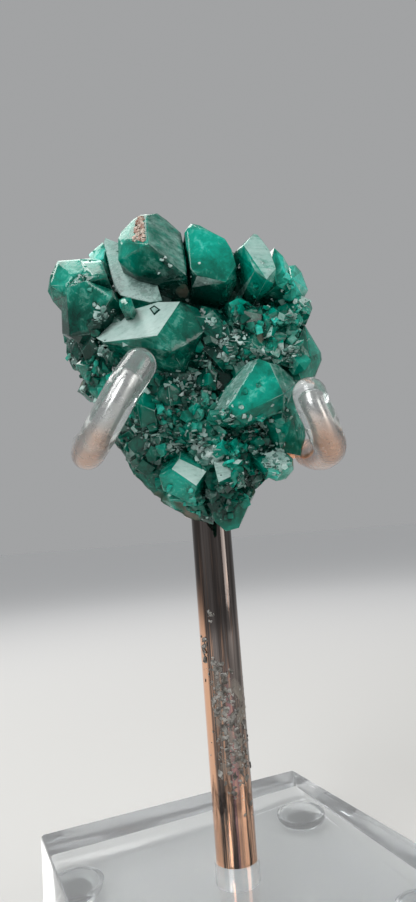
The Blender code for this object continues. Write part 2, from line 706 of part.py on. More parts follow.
def shade(names, angle):
    for name in names:
        mesh = bpy.data.objects[name].data
        mesh.shade_smooth()
        mesh.set_sharp_from_angle(angle=math.radians(angle))


def main():
    clear_scene()
    green = material("dioptase", (0.0, 0.18, 0.12), 0.15, ior=1.66)
    metal = material("polished_metal", (0.75, 0.72, 0.7), 0.12, metallic=1.0)
    vinyl = material("clear_vinyl", (0.9, 0.93, 0.92), 0.12, transmission=0.9, ior=1.5)
    acrylic = material("clear_acrylic", (0.95, 0.97, 0.98), 0.03, transmission=1.0, ior=1.49)
    build_cluster(green)
    hub_middle = Vector((0, 0, HUB_BOTTOM + HUB_HEIGHT * 0.72))
    sockets = [build_arm(side, given, hub_middle, metal, vinyl) for side, given in ARM_ROUTES.items()]
    build_hub(metal, sockets)
    build_post(metal)
    build_block(acrylic)
    build_feet(acrylic)
    arms = [f"{piece}_{side}" for side in ARM_ROUTES for piece in ("arm", "sleeve")]
    shade([*arms, "post", "arm_hub"], 40)


main()
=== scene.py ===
import math
import random

import bmesh
import bpy
from mathutils import Matrix, Vector, noise
from mathutils.bvhtree import BVHTree


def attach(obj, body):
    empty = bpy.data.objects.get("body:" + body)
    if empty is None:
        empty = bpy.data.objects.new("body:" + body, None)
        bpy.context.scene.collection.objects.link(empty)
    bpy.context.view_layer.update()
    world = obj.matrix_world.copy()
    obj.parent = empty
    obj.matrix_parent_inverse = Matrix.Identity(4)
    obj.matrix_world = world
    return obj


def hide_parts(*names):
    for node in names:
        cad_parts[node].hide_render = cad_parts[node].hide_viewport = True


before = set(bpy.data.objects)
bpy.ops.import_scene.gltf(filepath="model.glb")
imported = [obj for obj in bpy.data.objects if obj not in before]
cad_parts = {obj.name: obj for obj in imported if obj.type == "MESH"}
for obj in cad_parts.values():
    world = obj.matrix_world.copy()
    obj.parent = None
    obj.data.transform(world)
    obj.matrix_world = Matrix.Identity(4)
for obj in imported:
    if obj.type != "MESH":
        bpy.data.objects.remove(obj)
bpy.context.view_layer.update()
mm = 0.001
print("frame loaded")


# where things are on the cluster: across, up and out, in mm, as in the part's source
faceLayout = {
    "middle": (-3.75, -4.6, 67.1),
    "turn": -24.1,
    "lean": 8.0,
    "roll": 4.4,
    "sight": (2.6, -9.3, 73.0),  # what stands out shifts towards this point
    "picture": (186, 372),  # the picture's point at the cluster's middle
    "pictureStep": 0.1177,  # mm between the picture's points
}
faceTurn = (
    Matrix.Rotation(math.radians(faceLayout["turn"]), 3, "Z")
    @ Matrix.Rotation(math.radians(faceLayout["lean"]), 3, "X")
    @ Matrix.Rotation(math.radians(faceLayout["roll"]), 3, "Y")
)
faceMiddle = Vector(faceLayout["middle"])
sightPoint = Vector(faceLayout["sight"])


def onFace(across, up, out):
    flat = Vector((across, up, 0))
    spot = flat + (sightPoint - flat) * (out / sightPoint.z)
    return (faceMiddle + faceTurn @ Vector((spot.x, -spot.z, spot.y))) * mm


def faceCoordinates(point):
    local = faceTurn.transposed() @ (Vector(point) / mm - faceMiddle)
    out = -local.y
    share = out / sightPoint.z
    return (local.x - sightPoint.x * share) / (1 - share), (local.z - sightPoint.y * share) / (1 - share), out


def faceWay(across, up, out):
    return (faceTurn @ Vector((across, -out, up))).normalized()


# a place given in the picture's own points, laid on the middle of the cluster
def picturePlace(x, y):
    middle = faceLayout["picture"]
    step = faceLayout["pictureStep"]
    return onFace((x - middle[0]) * step, (middle[1] - y) * step, 0.0)


# what is met first behind such a place
def seenAt(tree, x, y, shift=Vector()):
    start = onFace(0, 0, sightPoint.z * 0.999) + shift
    return tree.ray_cast(start, (picturePlace(x, y) - start).normalized())


# one socket of a shader, so that shader sums read as sums
class Flow:
    def __init__(self, tree, socket):
        self.tree = tree
        self.socket = socket

    def sum(self, operation, *values):
        made = self.tree.nodes.new("ShaderNodeMath")
        made.operation = operation
        for slot, value in zip(made.inputs, values):
            if isinstance(value, Flow):
                self.tree.links.new(value.socket, slot)
            else:
                slot.default_value = value
        return Flow(self.tree, made.outputs[0])

    def __add__(self, other):
        return self.sum("ADD", self, other)

    def __radd__(self, other):
        return self.sum("ADD", other, self)

    def __sub__(self, other):
        return self.sum("SUBTRACT", self, other)

    def __rsub__(self, other):
        return self.sum("SUBTRACT", other, self)

    def __mul__(self, other):
        return self.sum("MULTIPLY", self, other)

    def __rmul__(self, other):
        return self.sum("MULTIPLY", other, self)

    def largest(self, other):
        return self.sum("MAXIMUM", self, other)

    def clipped(self):
        made = self.sum("ADD", self, 0.0)
        made.socket.node.use_clamp = True
        return made


class Finish:
    def __init__(self, name, **fixed):
        self.material = bpy.data.materials.new(name)
        self.material.use_nodes = True
        self.tree = self.material.node_tree
        self.shader = self.tree.nodes["Principled BSDF"]
        for socket, value in fixed.items():
            self.shader.inputs[socket.replace("_", " ")].default_value = value

    def node(self, kind, settings=None, inputs=None, output=0):
        made = self.tree.nodes.new(kind)
        for key, value in (settings or {}).items():
            if key == "stops":
                ramp = made.color_ramp.elements
                while len(ramp) < len(value):
                    ramp.new(0.5)
                for stop, (place, colour) in zip(ramp, value):
                    stop.position = place
                    stop.color = (*colour, 1)
            else:
                setattr(made, key, value)
        for socket, value in (inputs or {}).items():
            if isinstance(value, Flow):
                self.tree.links.new(value.socket, made.inputs[socket])
            else:
                made.inputs[socket].default_value = value
        return Flow(self.tree, made.outputs[output])

    def position(self):
        return self.node("ShaderNodeNewGeometry")

    def stretched(self, scale, turn=(0, 0, 0)):
        inputs = {"Vector": self.position(), "Rotation": turn, "Scale": scale}
        return self.node("ShaderNodeMapping", None, inputs)

    def along(self, way):
        return self.node("ShaderNodeVectorMath", {"operation": "DOT_PRODUCT"}, {0: self.position(), 1: way}, 1)

    def attribute(self, name):
        return self.node("ShaderNodeAttribute", {"attribute_name": name}, output=2)

    def noise(self, scale, detail=3.0, roughness=0.55, place=None, distortion=0.0):
        inputs = {"Vector": place or self.position(), "Scale": scale, "Detail": detail}
        return self.node("ShaderNodeTexNoise", None, inputs | {"Roughness": roughness, "Distortion": distortion})

    def between(self, value, low, high, start=0.0, end=1.0):
        inputs = {"Value": value, "From Min": low, "From Max": high, "To Min": start, "To Max": end}
        return self.node("ShaderNodeMapRange", {"interpolation_type": "SMOOTHSTEP"}, inputs)

    def mix(self, share, first, second):
        first = (*first, 1) if isinstance(first, tuple) else first
        second = (*second, 1) if isinstance(second, tuple) else second
        return self.node("ShaderNodeMix", {"data_type": "RGBA"}, {0: share, 6: first, 7: second}, 2)

    def bump(self, height, strength, distance):
        return self.node("ShaderNodeBump", None, {"Height": height, "Strength": strength, "Distance": distance})

    def feed(self, **varying):
        for socket, value in varying.items():
            self.tree.links.new(value.socket, self.shader.inputs[socket.replace("_", " ")])
        return self.material


def added(name, data):
    made = bpy.data.objects.new(name, data)
    bpy.context.scene.collection.objects.link(made)
    return made


# camera, with the eye in mm
viewpoint = {
    "eye": (-31.04, -70.15, 47.55),
    "right": (0.91447, -0.39736, -0.07646),
    "up": (0.01381, -0.15819, 0.98731),
    "lens": 24.75,
    "sensor": 36,
    "clip": (0.002, 40),
}


def setCamera():
    camera = added("camera", bpy.data.cameras.new("camera"))
    right = Vector(viewpoint["right"]).normalized()
    up = Vector(viewpoint["up"]).normalized()
    turn = Matrix((right, up, right.cross(up))).transposed()
    camera.matrix_world = Matrix.Translation(Vector(viewpoint["eye"]) * mm) @ turn.to_4x4()
    camera.data.sensor_width = viewpoint["sensor"]
    camera.data.lens = viewpoint["lens"]
    camera.data.clip_start, camera.data.clip_end = viewpoint["clip"]
    bpy.context.scene.camera = camera
    return turn


studio = {
    "wall": (0.36, 0.365, 0.37),
    "floor": (0.58, 0.58, 0.57),
    "floorFar": (0.97, 0.975, 0.98),  # paler from here on, as bright as the wall where they meet
    "floorFade": (0.05, 0.45),  # m from the stand
    "floorRadius": 30.0,
    # each lamp's way from the cluster (right, up, towards the eye), distance and size in m, watts and tint
    "lamps": [
        ((-0.37, 0.8, -0.48), 0.3, (0.26, 0.2), 0.85, (1.0, 0.98, 0.95)),
        ((-0.5, 0.62, 0.6), 0.34, (0.14, 0.24), 0.85, (1.0, 1.0, 1.0)),
        ((0.85, 0.36, 0.35), 0.34, (0.16, 0.26), 0.42, (1.0, 0.97, 0.93)),
    ],
}


def buildFloor():
    bm = bmesh.new()
    bmesh.ops.create_circle(bm, cap_ends=True, segments=96, radius=studio["floorRadius"])
    floor = pieceFrom(bm, "floor")
    finish = Finish("paleFloor", Roughness=0.7, Specular_IOR_Level=0.2)
    away = finish.node("ShaderNodeVectorMath", {"operation": "LENGTH"}, {0: finish.position()}, 1)
    shade = finish.mix(finish.between(away, *studio["floorFade"]), studio["floor"], studio["floorFar"])
    floor.data.materials.append(finish.feed(Base_Color=shade))


def buildStudio(turn):
    world = bpy.data.worlds.new("studio")
    world.use_nodes = True
    world.node_tree.nodes["Background"].inputs["Color"].default_value = (*studio["wall"], 1)
    bpy.context.scene.world = world
    buildFloor()
    for index, (way, distance, size, watts, tint) in enumerate(studio["lamps"]):
        data = bpy.data.lights.new(f"lamp{index + 1}", "AREA")
        data.shape = "RECTANGLE"
        data.size, data.size_y = size
        data.energy = watts
        data.color = tint
        lamp = added(f"lamp{index + 1}", data)
        way = turn @ Vector(way).normalized()
        lamp.location = faceMiddle * mm + way * distance
        lamp.rotation_euler = way.to_track_quat("Z", "Y").to_euler()
    print("camera and studio ready")


def smoothOut(mesh, sharpFrom):
    mesh.shade_smooth()
    mesh.set_sharp_from_angle(angle=math.radians(sharpFrom))


def pieceFrom(bm, name, material=None, sharpFrom=None):
    mesh = bpy.data.meshes.new(name)
    bm.to_mesh(mesh)
    bm.free()
    if material:
        mesh.materials.append(material)
    if sharpFrom:
        smoothOut(mesh, sharpFrom)
    return added(name, mesh)


def standsFor(piece, slot, *nodes):
    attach(piece, "root")
    if nodes:
        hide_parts(*nodes)


# the cluster: lengths in mm, areas in square mm, angles in degrees
clusterLook = {
    "seed": 5,
    "merge": 0.004,  # points nearer than this are one
    "flatUnder": 3,  # faces that meet flatter than this are one
    "softUnder": 24,  # small faces that meet flatter than this belong to the mass
    "softArea": 1.6,
    "grid": 0.6,  # longest edge on a face
    "wornArea": 1.0,  # a smaller or a narrower face has no worn strip
    "wornWidth": 0.16,
    "edgeWidth": 0.07,  # worn strip along the crystals' edges, painted pale in part as an edge highlight
    "edgeDrop": 0.03,
    "outerFrom": 18,  # edges that stand out, that lie in a hollow, whose strips are painted pale as wear and as an edge highlight
    "innerFrom": -6,
    "crispFrom": 28,
    "massRelief": 0.16,
    "rockFrom": -4.6,  # how far back the crust of rock starts
    "rockWander": 1.6,
    "rockFade": 1.2,
    "rockFront": 5.2,  # the spots of rock lie no further out than this
    "rockRelief": 0.5,
    "strongPale": 0.85,  # faces paler than this share one tone
    "strongTone": 0.7,
    "strayFrostAndSheen": {"share": 0.1, "under": 3, "strength": 0.5},  # frost and painted sheen on a few other small faces
}

# faces painted pale, partly frost and partly a painted reflection, some between them left clear: picture place,
# strength
paleFaces = [
    (140, 320, 1.0), (165, 308, 1.0), (128, 232, 0.25), (165, 236, 0.45), (175, 255, 0.42), (257, 250, 0.8),
    (112, 262, 0.7), (140, 290, 0.75), (303, 303, 0.9), (290, 314, 0.95), (184, 468, 1.0), (225, 479, 0.9),
    (277, 462, 0.7), (232, 385, 0.6), (284, 382, 0.45), (60, 270, 0.1), (92, 265, 0.15), (220, 287, 0.0),
    (223, 283, 0.0), (218, 293, 0.0), (200, 288, 0.0), (208, 270, 0.0), (150, 250, 0.0), (80, 295, 0.0),
    (178, 335, 0.0), (150, 340, 0.0), (124, 301, 0.0),
]

# painted light and shade in the crystals' green: across, up, radius in mm, amount
paintedLightSpots = [
    (-6.6, 13.4, 2.2, 0.12), (-4.0, 12.0, 2.4, -0.26), (-2.0, 11.0, 2.2, -0.26), (2.4, 15.4, 2.6, 0.2),
    (2.6, 10.0, 2.6, -0.38), (6.9, 13.0, 1.6, 0.22), (11.3, 12.4, 2.4, 0.34), (13.4, 10.0, 1.6, 0.32),
    (13.8, 6.6, 1.4, 0.15), (-14.8, 10.9, 2.2, 0.06), (-10.6, 14.2, 1.8, 0.4), (-10.8, 12.0, 1.6, 0.1),
    (-12.0, 7.2, 3.2, -0.34), (-13.5, 3.4, 2.6, -0.32), (0.8, 6.0, 2.2, -0.06), (-5.5, 2.6, 2.6, -0.24),
    (0.2, 3.0, 2.2, -0.18), (7.4, -2.4, 2.8, 0.1), (10.6, -1.2, 2.2, 0.05), (5.0, 4.0, 2.6, -0.26),
    (-1.6, -13.0, 2.0, 0.26), (12.0, -11.8, 1.6, 0.14), (1.0, 9.4, 1.6, -0.4), (-1.6, 9.6, 1.6, -0.3),
    (8.4, 6.8, 2.2, -0.18), (15.0, 1.8, 1.8, 0.08), (3.4, -16.4, 2.6, -0.36), (-7.0, -9.0, 3.4, -0.26),
    (1.0, -0.5, 3.4, -0.24), (8.0, -13.4, 2.4, -0.2), (5.5, -17.8, 1.2, 0.15), (-11.0, -0.5, 2.4, -0.12),
]

# rock that shows between the crystals and round the foot: across, up, radius in mm, amount
rockSpots = [
    (-0.4, 9.4, 0.9, 1.0), (8.5, 4.1, 0.9, 0.9), (-3.4, -15.2, 1.5, 0.75), (0.4, -17.6, 1.6, 0.75),
    (-8.2, -9.6, 1.6, 0.5), (-0.6, -15.3, 1.1, 0.7), (-12.6, -1.5, 1.4, 0.55), (-6.0, -13.0, 1.3, 0.45),
    (11.0, -14.0, 1.6, 0.4),
]


def spotted(spots, across, up):
    total = 0.0
    for x, y, reach, amount in spots:
        gap = ((across - x) ** 2 + (up - y) ** 2) / reach**2
        if gap < 5:
            total += amount * math.exp(-gap)
    return total


def clusterBody():
    look = clusterLook
    bm = bmesh.new()
    bm.from_mesh(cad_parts["dioptase_cluster"].data)
    bmesh.ops.remove_doubles(bm, verts=bm.verts[:], dist=look["merge"] * mm)
    bmesh.ops.dissolve_limit(bm, angle_limit=math.radians(look["flatUnder"]), verts=bm.verts[:], edges=bm.edges[:])
    bm.normal_update()
    bm.faces.ensure_lookup_table()
    facet = bm.faces.layers.int.new("facet")
    soft = bm.faces.layers.float.new("soft")
    limit = math.radians(look["softUnder"])
    for index, face in enumerate(bm.faces):
        face[facet] = index
        flat = [e for e in face.edges if len(e.link_faces) == 2 and abs(e.calc_face_angle_signed(0)) < limit]
        face[soft] = float(len(flat) >= 2 and face.calc_area() < look["softArea"] * mm**2)
    return bm, facet


def paleFacets(bm, facet):
    tree = BVHTree.FromBMesh(bm)
    found = {}
    for x, y, strength in paleFaces:
        index = seenAt(tree, x, y)[2]
        if index is not None:
            found[bm.faces[index][facet]] = strength
    return found


def wearAndGlintEdges(bm):
    look = clusterLook
    rim = bm.faces.layers.float.new("rim")
    large = [f for f in bm.faces if f.calc_area() > look["wornArea"] * mm**2]
    wide = [f for f in large if f.calc_area() / f.calc_perimeter() > look["wornWidth"] * mm]
    outer = set()
    inner = set()
    crisp = set()
    for edge in bm.edges:
        if len(edge.link_faces) == 2:
            bend = edge.calc_face_angle_signed(0)
            if bend > math.radians(look["outerFrom"]):
                outer.update(edge.verts)
            elif bend < math.radians(look["innerFrom"]):
                inner.update(edge.verts)
            if bend > math.radians(look["crispFrom"]):
                crisp.add(frozenset(edge.verts))
    before = set(bm.faces)
    drops = {vert: vert.normal * (look["edgeDrop"] * mm) for vert in outer - inner}
    bmesh.ops.inset_individual(bm, faces=wide, thickness=look["edgeWidth"] * mm, use_even_offset=False)
    for vert, drop in drops.items():
        vert.co -= drop
    for face in bm.faces:
        # strips along crisp edges are marked to be painted pale, as wear and as an edge highlight
        face[rim] = float(face not in before and any(frozenset(e.verts) in crisp for e in face.edges))


def splitLong(bm, longest):
    for _ in range(5):
        bmesh.ops.triangulate(bm, faces=[f for f in bm.faces if len(f.verts) > 4])
        tooLong = [e for e in bm.edges if e.calc_length() > longest]
        if not tooLong:
            break
        bmesh.ops.subdivide_edges(bm, edges=tooLong, cuts=1)
    bmesh.ops.triangulate(bm, faces=[f for f in bm.faces if len(f.verts) > 4])


# frost with painted sheen, and tone, of every face, one draw for each of the crystals' flat faces
def toneFaces(bm, facet, pale, areas):
    look = clusterLook
    stray = look["strayFrostAndSheen"]
    dice = random.Random(look["seed"])
    soft = bm.faces.layers.float["soft"]
    frost = bm.faces.layers.float.new("frost")
    tone = bm.faces.layers.float.new("tone")
    strong = look["strongPale"]
    tones = {index: look["strongTone"] if pale.get(index, 0) > strong else dice.random() for index in areas}
    chance = {index: dice.random() for index in areas}
    for face in bm.faces:
        index = face[facet]
        picked = chance[index] > 1 - stray["share"] and areas[index] < stray["under"] and not face[soft]
        face[frost] = pale.get(index, stray["strength"] if picked else 0.0)
        face[tone] = 0.5 if face[soft] else tones[index]


def roughenMass(bm):
    look = clusterLook
    soft = bm.faces.layers.float["soft"]
    rock = bm.verts.layers.float.new("rock")
    glow = bm.verts.layers.float.new("glow")
    moves = {}
    for vert in bm.verts:
        across, up, out = faceCoordinates(vert.co)
        lumps = noise.fractal(vert.co / mm * 0.35, 1.0, 2.0, 3)
        crust = (look["rockFrom"] + look["rockWander"] * lumps - out) / look["rockFade"]
        vert[rock] = min(1, max(0, crust, spotted(rockSpots, across, up) if out < look["rockFront"] else 0))
        # painted light and shade from the spots, lighter or darker green
        vert[glow] = 0.5 + spotted(paintedLightSpots, across, up)
        move = vert[rock] * look["rockRelief"] * (0.5 + noise.fractal(vert.co / mm * 1.1, 0.8, 2.0, 4))
        if all(f[soft] for f in vert.link_faces):
            move += look["massRelief"] * (0.4 + noise.fractal(vert.co / mm * 1.4, 0.8, 2.0, 4))
        moves[vert] = vert.normal * (move * mm)
    for vert, move in moves.items():
        vert.co -= move


def buildCluster():
    bm, facet = clusterBody()
    pale = paleFacets(bm, facet)
    areas = {f[facet]: f.calc_area() / mm**2 for f in bm.faces}
    print("facets", len(areas), "pale", len(pale))
    wearAndGlintEdges(bm)
    splitLong(bm, clusterLook["grid"] * mm)
    toneFaces(bm, facet, pale, areas)
    bm.faces.layers.float.new("scar")
    bm.normal_update()
    roughenMass(bm)
    return bm


# small crystals, grains and flakes over the larger ones, sizes in mm
druseLook = {
    "seed": 11,
    "largestClean": 2.2,  # a face above this many square mm stays bare
    "fields": [  # picture place, reach, how many, smallest and largest radius, how often on bare faces
        (195, 405, 60, 380, 0.2, 0.8, 0.03),
        (235, 345, 46, 140, 0.25, 0.95, 0.03),
        (292, 345, 32, 110, 0.3, 1.05, 0.03),
        (240, 448, 50, 300, 0.22, 1.0, 0.03),
        (100, 372, 38, 110, 0.25, 0.9, 0.03),
        (165, 440, 34, 90, 0.22, 0.6, 0.03),
        (268, 316, 34, 80, 0.3, 1.0, 0.03),
        (275, 415, 34, 120, 0.25, 0.95, 0.03),
        (90, 275, 44, 30, 0.25, 0.5, 0.03),
        (232, 503, 22, 26, 0.45, 1.05, 1.0),
        (194, 507, 18, 14, 0.35, 0.8, 1.0),
    ],
    "lumpFields": 8,  # the larger ones grow in the first fields only
    "patches": [  # pale flakes: picture place, reach, how many, size
        (275, 460, 13, 80, 0.36), (207, 452, 13, 56, 0.42), (198, 440, 9, 26, 0.38), (100, 317, 9, 26, 0.34),
        (102, 350, 8, 16, 0.3), (165, 430, 9, 14, 0.28), (188, 388, 22, 60, 0.3), (292, 352, 10, 30, 0.32),
        (303, 303, 8, 22, 0.3), (240, 338, 12, 22, 0.26), (176, 447, 9, 16, 0.28), (212, 322, 12, 14, 0.24),
        (222, 342, 14, 24, 0.24), (290, 315, 5, 16, 0.46), (289, 350, 6, 16, 0.46), (227, 352, 9, 18, 0.36),
        (261, 351, 7, 14, 0.36), (149, 435, 11, 26, 0.36), (172, 447, 9, 18, 0.34), (262, 428, 18, 40, 0.28),
        (225, 412, 14, 26, 0.26),
    ],
    "flakeFlat": 0.45,
    "flakeSpread": (0.5, 1.8),  # shares of the size given
    "grainShare": 0.5,  # how many are irregular grains, not prisms
    # frost and painted sheen, one of these for each
    "grainFrostAndSheen": (0.0, 0.0, 0.0, 0.3),
    "prismFrostAndSheen": (0.0, 0.0, 0.0, 0.35, 0.8),
    "crumbFrostAndSheen": (0.0, 0.2, 0.6, 1.0),
    "flakeFrostAndSheen": (0.4, 0.7, 1.0),
    "footPaler": 0.3,  # frost and painted sheen on those of the foot, against the others
    "glow": (0.13, 0.17),  # painted light: how much brighter than the mass, and how unevenly
    "lumps": 70,  # larger ones, half sunk
    "lumpSize": (0.8, 1.5),
    "lumpRise": (0.2, 0.5),
    "rise": (0.25, 1.2),  # how far a prism stands out, in shares of its radius
    "squeeze": (0.55, 1.3),
    "shift": (14, 4, 14),  # how far the eye is moved to reach round corners
    "crumbs": 1300,
    "crumbSize": (0.07, 0.25),
    "chipSize": (0.28, 0.62),  # shares of the size given
    "shapes": 12,
}

# pale chips that stand out, pale with frost and painted sheen and brightened by painted light: picture place and
# size in mm
chipSpots = [
    (162, 260, 0.5), (169, 266, 0.45), (159, 273, 0.4), (165, 257, 0.3), (198, 263, 0.35), (191, 277, 0.25),
    (188, 301, 0.6), (239, 267, 0.45), (262, 263, 0.3), (268, 269, 0.3), (272, 300, 0.4), (268, 306, 0.35),
    (282, 291, 0.4), (276, 318, 0.5), (190, 375, 0.35), (203, 381, 0.4), (171, 374, 0.25), (167, 398, 0.25),
    (205, 425, 0.35), (250, 439, 0.35), (231, 438, 0.3), (198, 446, 0.5), (214, 446, 0.45), (190, 425, 0.45),
    (187, 432, 0.4), (164, 430, 0.3), (100, 347, 0.4), (92, 342, 0.3), (245, 335, 0.3), (288, 349, 0.4),
    (293, 356, 0.45), (308, 340, 0.3), (255, 452, 0.3), (247, 480, 0.3), (203, 470, 0.3), (85, 276, 0.3),
    (76, 283, 0.25), (176, 447, 0.35), (113, 311, 0.4), (106, 316, 0.4), (100, 318, 0.35),
]

# the crusted scar on the left crown crystal: ends and widths in the picture's points, sizes in mm
scarLine = {"from": (140.5, 217), "to": (139, 241), "width": (2.6, 6.0), "bits": 150, "size": (0.12, 0.34)}


# a six-sided crystal with dioptase's three sloping end faces
def addPrism(bm, foot, axis, radius, length, twist, squeeze):
    up = axis.normalized()
    side = Matrix.Rotation(twist, 3, up) @ up.orthogonal().normalized()
    other = up.cross(side)
    drop = radius * math.tan(math.radians(51)) * 0.5
    tip = foot + up * length
    ring = []
    base = []
    for corner in range(6):
        turn = math.radians(60 * corner)
        way = side * math.cos(turn) * squeeze + other * math.sin(turn)
        ring.append(bm.verts.new(tip - up * (drop if corner % 2 else 2 * drop) + way * radius))
        base.append(bm.verts.new(foot - up * radius * 1.1 + way * radius * 0.92))
    top = bm.verts.new(tip)
    made = [bm.faces.new((top, ring[k - 1], ring[k], ring[(k + 1) % 6])) for k in (0, 2, 4)]
    made += [bm.faces.new((ring[k], base[k], base[(k + 1) % 6], ring[(k + 1) % 6])) for k in range(6)]
    return made, ring + base + [top]


def chipShapes(dice, count):
    shapes = []
    for _ in range(count):
        bm = bmesh.new()
        for _ in range(9):
            way = Vector([dice.gauss(0, 1) for _ in range(3)]).normalized()
            bm.verts.new((way.x, way.y * dice.uniform(0.6, 1), way.z * 0.6))
        made = bmesh.ops.convex_hull(bm, input=bm.verts[:])
        spare = {v for v in made["geom_interior"] + made["geom_unused"] if isinstance(v, bmesh.types.BMVert)}
        bmesh.ops.delete(bm, geom=list(spare), context="VERTS")
        bm.verts.index_update()
        shapes.append(([v.co.copy() for v in bm.verts], [[v.index for v in f.verts] for f in bm.faces]))
        bm.free()
    return shapes


def addChip(bm, shape, centre, normal, size, dice, flat=1.0):
    turn = normal.to_track_quat("Z", "Y").to_matrix() @ Matrix.Rotation(dice.uniform(0, math.tau), 3, "Z")
    turn = turn @ Matrix.Rotation(dice.gauss(0, 0.5 * flat), 3, "X")
    corners = [Vector((point.x, point.y, point.z * flat)) for point in shape[0]]
    verts = [bm.verts.new(centre + turn @ (corner * size)) for corner in corners]
    return [bm.faces.new([verts[k] for k in face]) for face in shape[1]], verts


def setLayers(bm, made, verts, **values):
    for face in made:
        for name in ("frost", "tone", "scar", "rim"):
            face[bm.faces.layers.float[name]] = values.get(name, 0.0)
    for vert in verts:
        vert[bm.verts.layers.float["glow"]] = values["glow"]


class Druse:
    def __init__(self, bm, body):
        self.bm = bm
        self.body = body
        self.tree = BVHTree.FromBMesh(body)
        self.dice = random.Random(druseLook["seed"])
        self.shapes = chipShapes(self.dice, druseLook["shapes"])
        self.facet = body.faces.layers.int["facet"]
        self.soft = body.faces.layers.float["soft"]
        self.areas = {}
        body.faces.ensure_lookup_table()
        for face in body.faces:
            self.areas[face[self.facet]] = self.areas.get(face[self.facet], 0) + face.calc_area() / mm**2

    def paintedLightAt(self, place):
        return 0.5 + spotted(paintedLightSpots, *faceCoordinates(place)[:2])

    def scattered(self, x, y, spread, upSpread=None):
        return self.dice.gauss(x, spread), self.dice.gauss(y, upSpread or spread)

    def landing(self, x, y, spread, keep):
        shift = Vector([self.dice.uniform(-far, far) for far in druseLook["shift"]]) * mm * spread
        place, normal, index, _ = seenAt(self.tree, x, y, shift)
        if place is None:
            return None, None
        face = self.body.faces[index]
        bare = self.areas[face[self.facet]] > druseLook["largestClean"] and not face[self.soft]
        return (None, None) if bare and self.dice.random() > keep else (place, normal)

    # a chip where a ray landed, shaded by chance where no shade is given
    def chip(self, hit, sizes, scale=1.0, flat=1.0, frostAndSheenChoices=None, **shade):
        place, normal = hit[:2]
        if place is None:
            return
        shape = self.dice.choice(self.shapes)
        size = scale * self.dice.uniform(*sizes) * mm
        made, verts = addChip(self.bm, shape, place, normal, size, self.dice, flat)
        if frostAndSheenChoices:
            shade["frost"] = self.dice.choice(frostAndSheenChoices)
        if "tone" not in shade:
            shade["tone"] = self.dice.random()
        if "glow" not in shade:
            shade["glow"] = self.paintedLightAt(place)
        setLayers(self.bm, made, verts, **shade)

    def grain(self, place, normal, size):
        made, verts = addChip(self.bm, self.dice.choice(self.shapes), place, normal, size, self.dice)
        frost = self.dice.choice(druseLook["grainFrostAndSheen"])
        tone = self.dice.random()
        glow = self.paintedLightAt(place) + self.dice.gauss(*druseLook["glow"])
        setLayers(self.bm, made, verts, frost=frost, tone=tone, glow=glow)

    def grow(self, place, normal, radius, rise, paler=1.0):
        dice = self.dice
        axis = normal + Vector([dice.uniform(-1, 1) for _ in range(3)]) * 0.7 + faceWay(0, 0.3, 0.3) * 0.4
        twist = dice.uniform(0, math.tau)
        squeeze = dice.uniform(*druseLook["squeeze"])
        made, verts = addPrism(self.bm, place, axis, radius, rise, twist, squeeze)
        paleness = dice.choice(druseLook["prismFrostAndSheen"])
        tone = dice.random()
        setLayers(self.bm, made, verts, tone=tone, glow=self.paintedLightAt(place) + dice.gauss(*druseLook["glow"]))
        frost = self.bm.faces.layers.float["frost"]
        for face in made[:3]:
            face[frost] = paleness * paler if dice.random() < 0.6 else 0.0

    def growField(self, x, y, reach, number, small, large, keep):
        paler = druseLook["footPaler"] if keep == 1 else 1.0
        for _ in range(number):
            place, normal = self.landing(*self.scattered(x, y, reach * 0.5), 1.0, keep)
            if place is None:
                continue
            radius = small * (large / small) ** (self.dice.random() ** 1.4) * mm
            if self.dice.random() < druseLook["grainShare"]:
                self.grain(place, normal, radius * 1.15)
            else:
                self.grow(place, normal, radius, radius * self.dice.uniform(*druseLook["rise"]), paler)

    def growLump(self):
        x, y, reach = self.dice.choice(druseLook["fields"][:druseLook["lumpFields"]])[:3]
        place, normal = self.landing(*self.scattered(x, y, reach * 0.6), 0.6, 0.0)
        if place is not None:
            radius = self.dice.uniform(*druseLook["lumpSize"]) * mm
            self.grow(place, normal, radius, radius * self.dice.uniform(*druseLook["lumpRise"]))

    def strewCrumb(self):
        x, y, reach = self.dice.choice(druseLook["fields"])[:3]
        hit = self.landing(*self.scattered(x, y, reach * 0.55), 1.0, 0.02)
        self.chip(hit, druseLook["crumbSize"], frostAndSheenChoices=druseLook["crumbFrostAndSheen"])

    def layFlakes(self, grown, x, y, reach, number, size):
        look = druseLook
        for _ in range(number):
            hit = seenAt(grown, *self.scattered(x, y, reach * 0.5))
            self.chip(hit, look["flakeSpread"], size, look["flakeFlat"], look["flakeFrostAndSheen"])

    # pale chips, pale with frost and painted sheen and brightened by painted light
    def strewChips(self, grown, x, y, size):
        spread = size * 4.5
        for _ in range(3):
            hit = seenAt(grown, *self.scattered(x, y, spread * 0.5, spread * 0.4))
            self.chip(hit, druseLook["chipSize"], size, frost=1.0, tone=1.0, glow=0.8)

    def crustScar(self):
        start, end, width = scarLine["from"], scarLine["to"], scarLine["width"]
        for bit in range(scarLine["bits"]):
            share = (bit + self.dice.random()) / scarLine["bits"]
            half = width[0] * (1 - share) + width[1] * share
            x = start[0] * (1 - share) + end[0] * share + self.dice.uniform(-1, 1) * half
            y = start[1] * (1 - share) + end[1] * share
            self.chip(seenAt(self.tree, x, y), scarLine["size"], scar=1.0, glow=0.5)

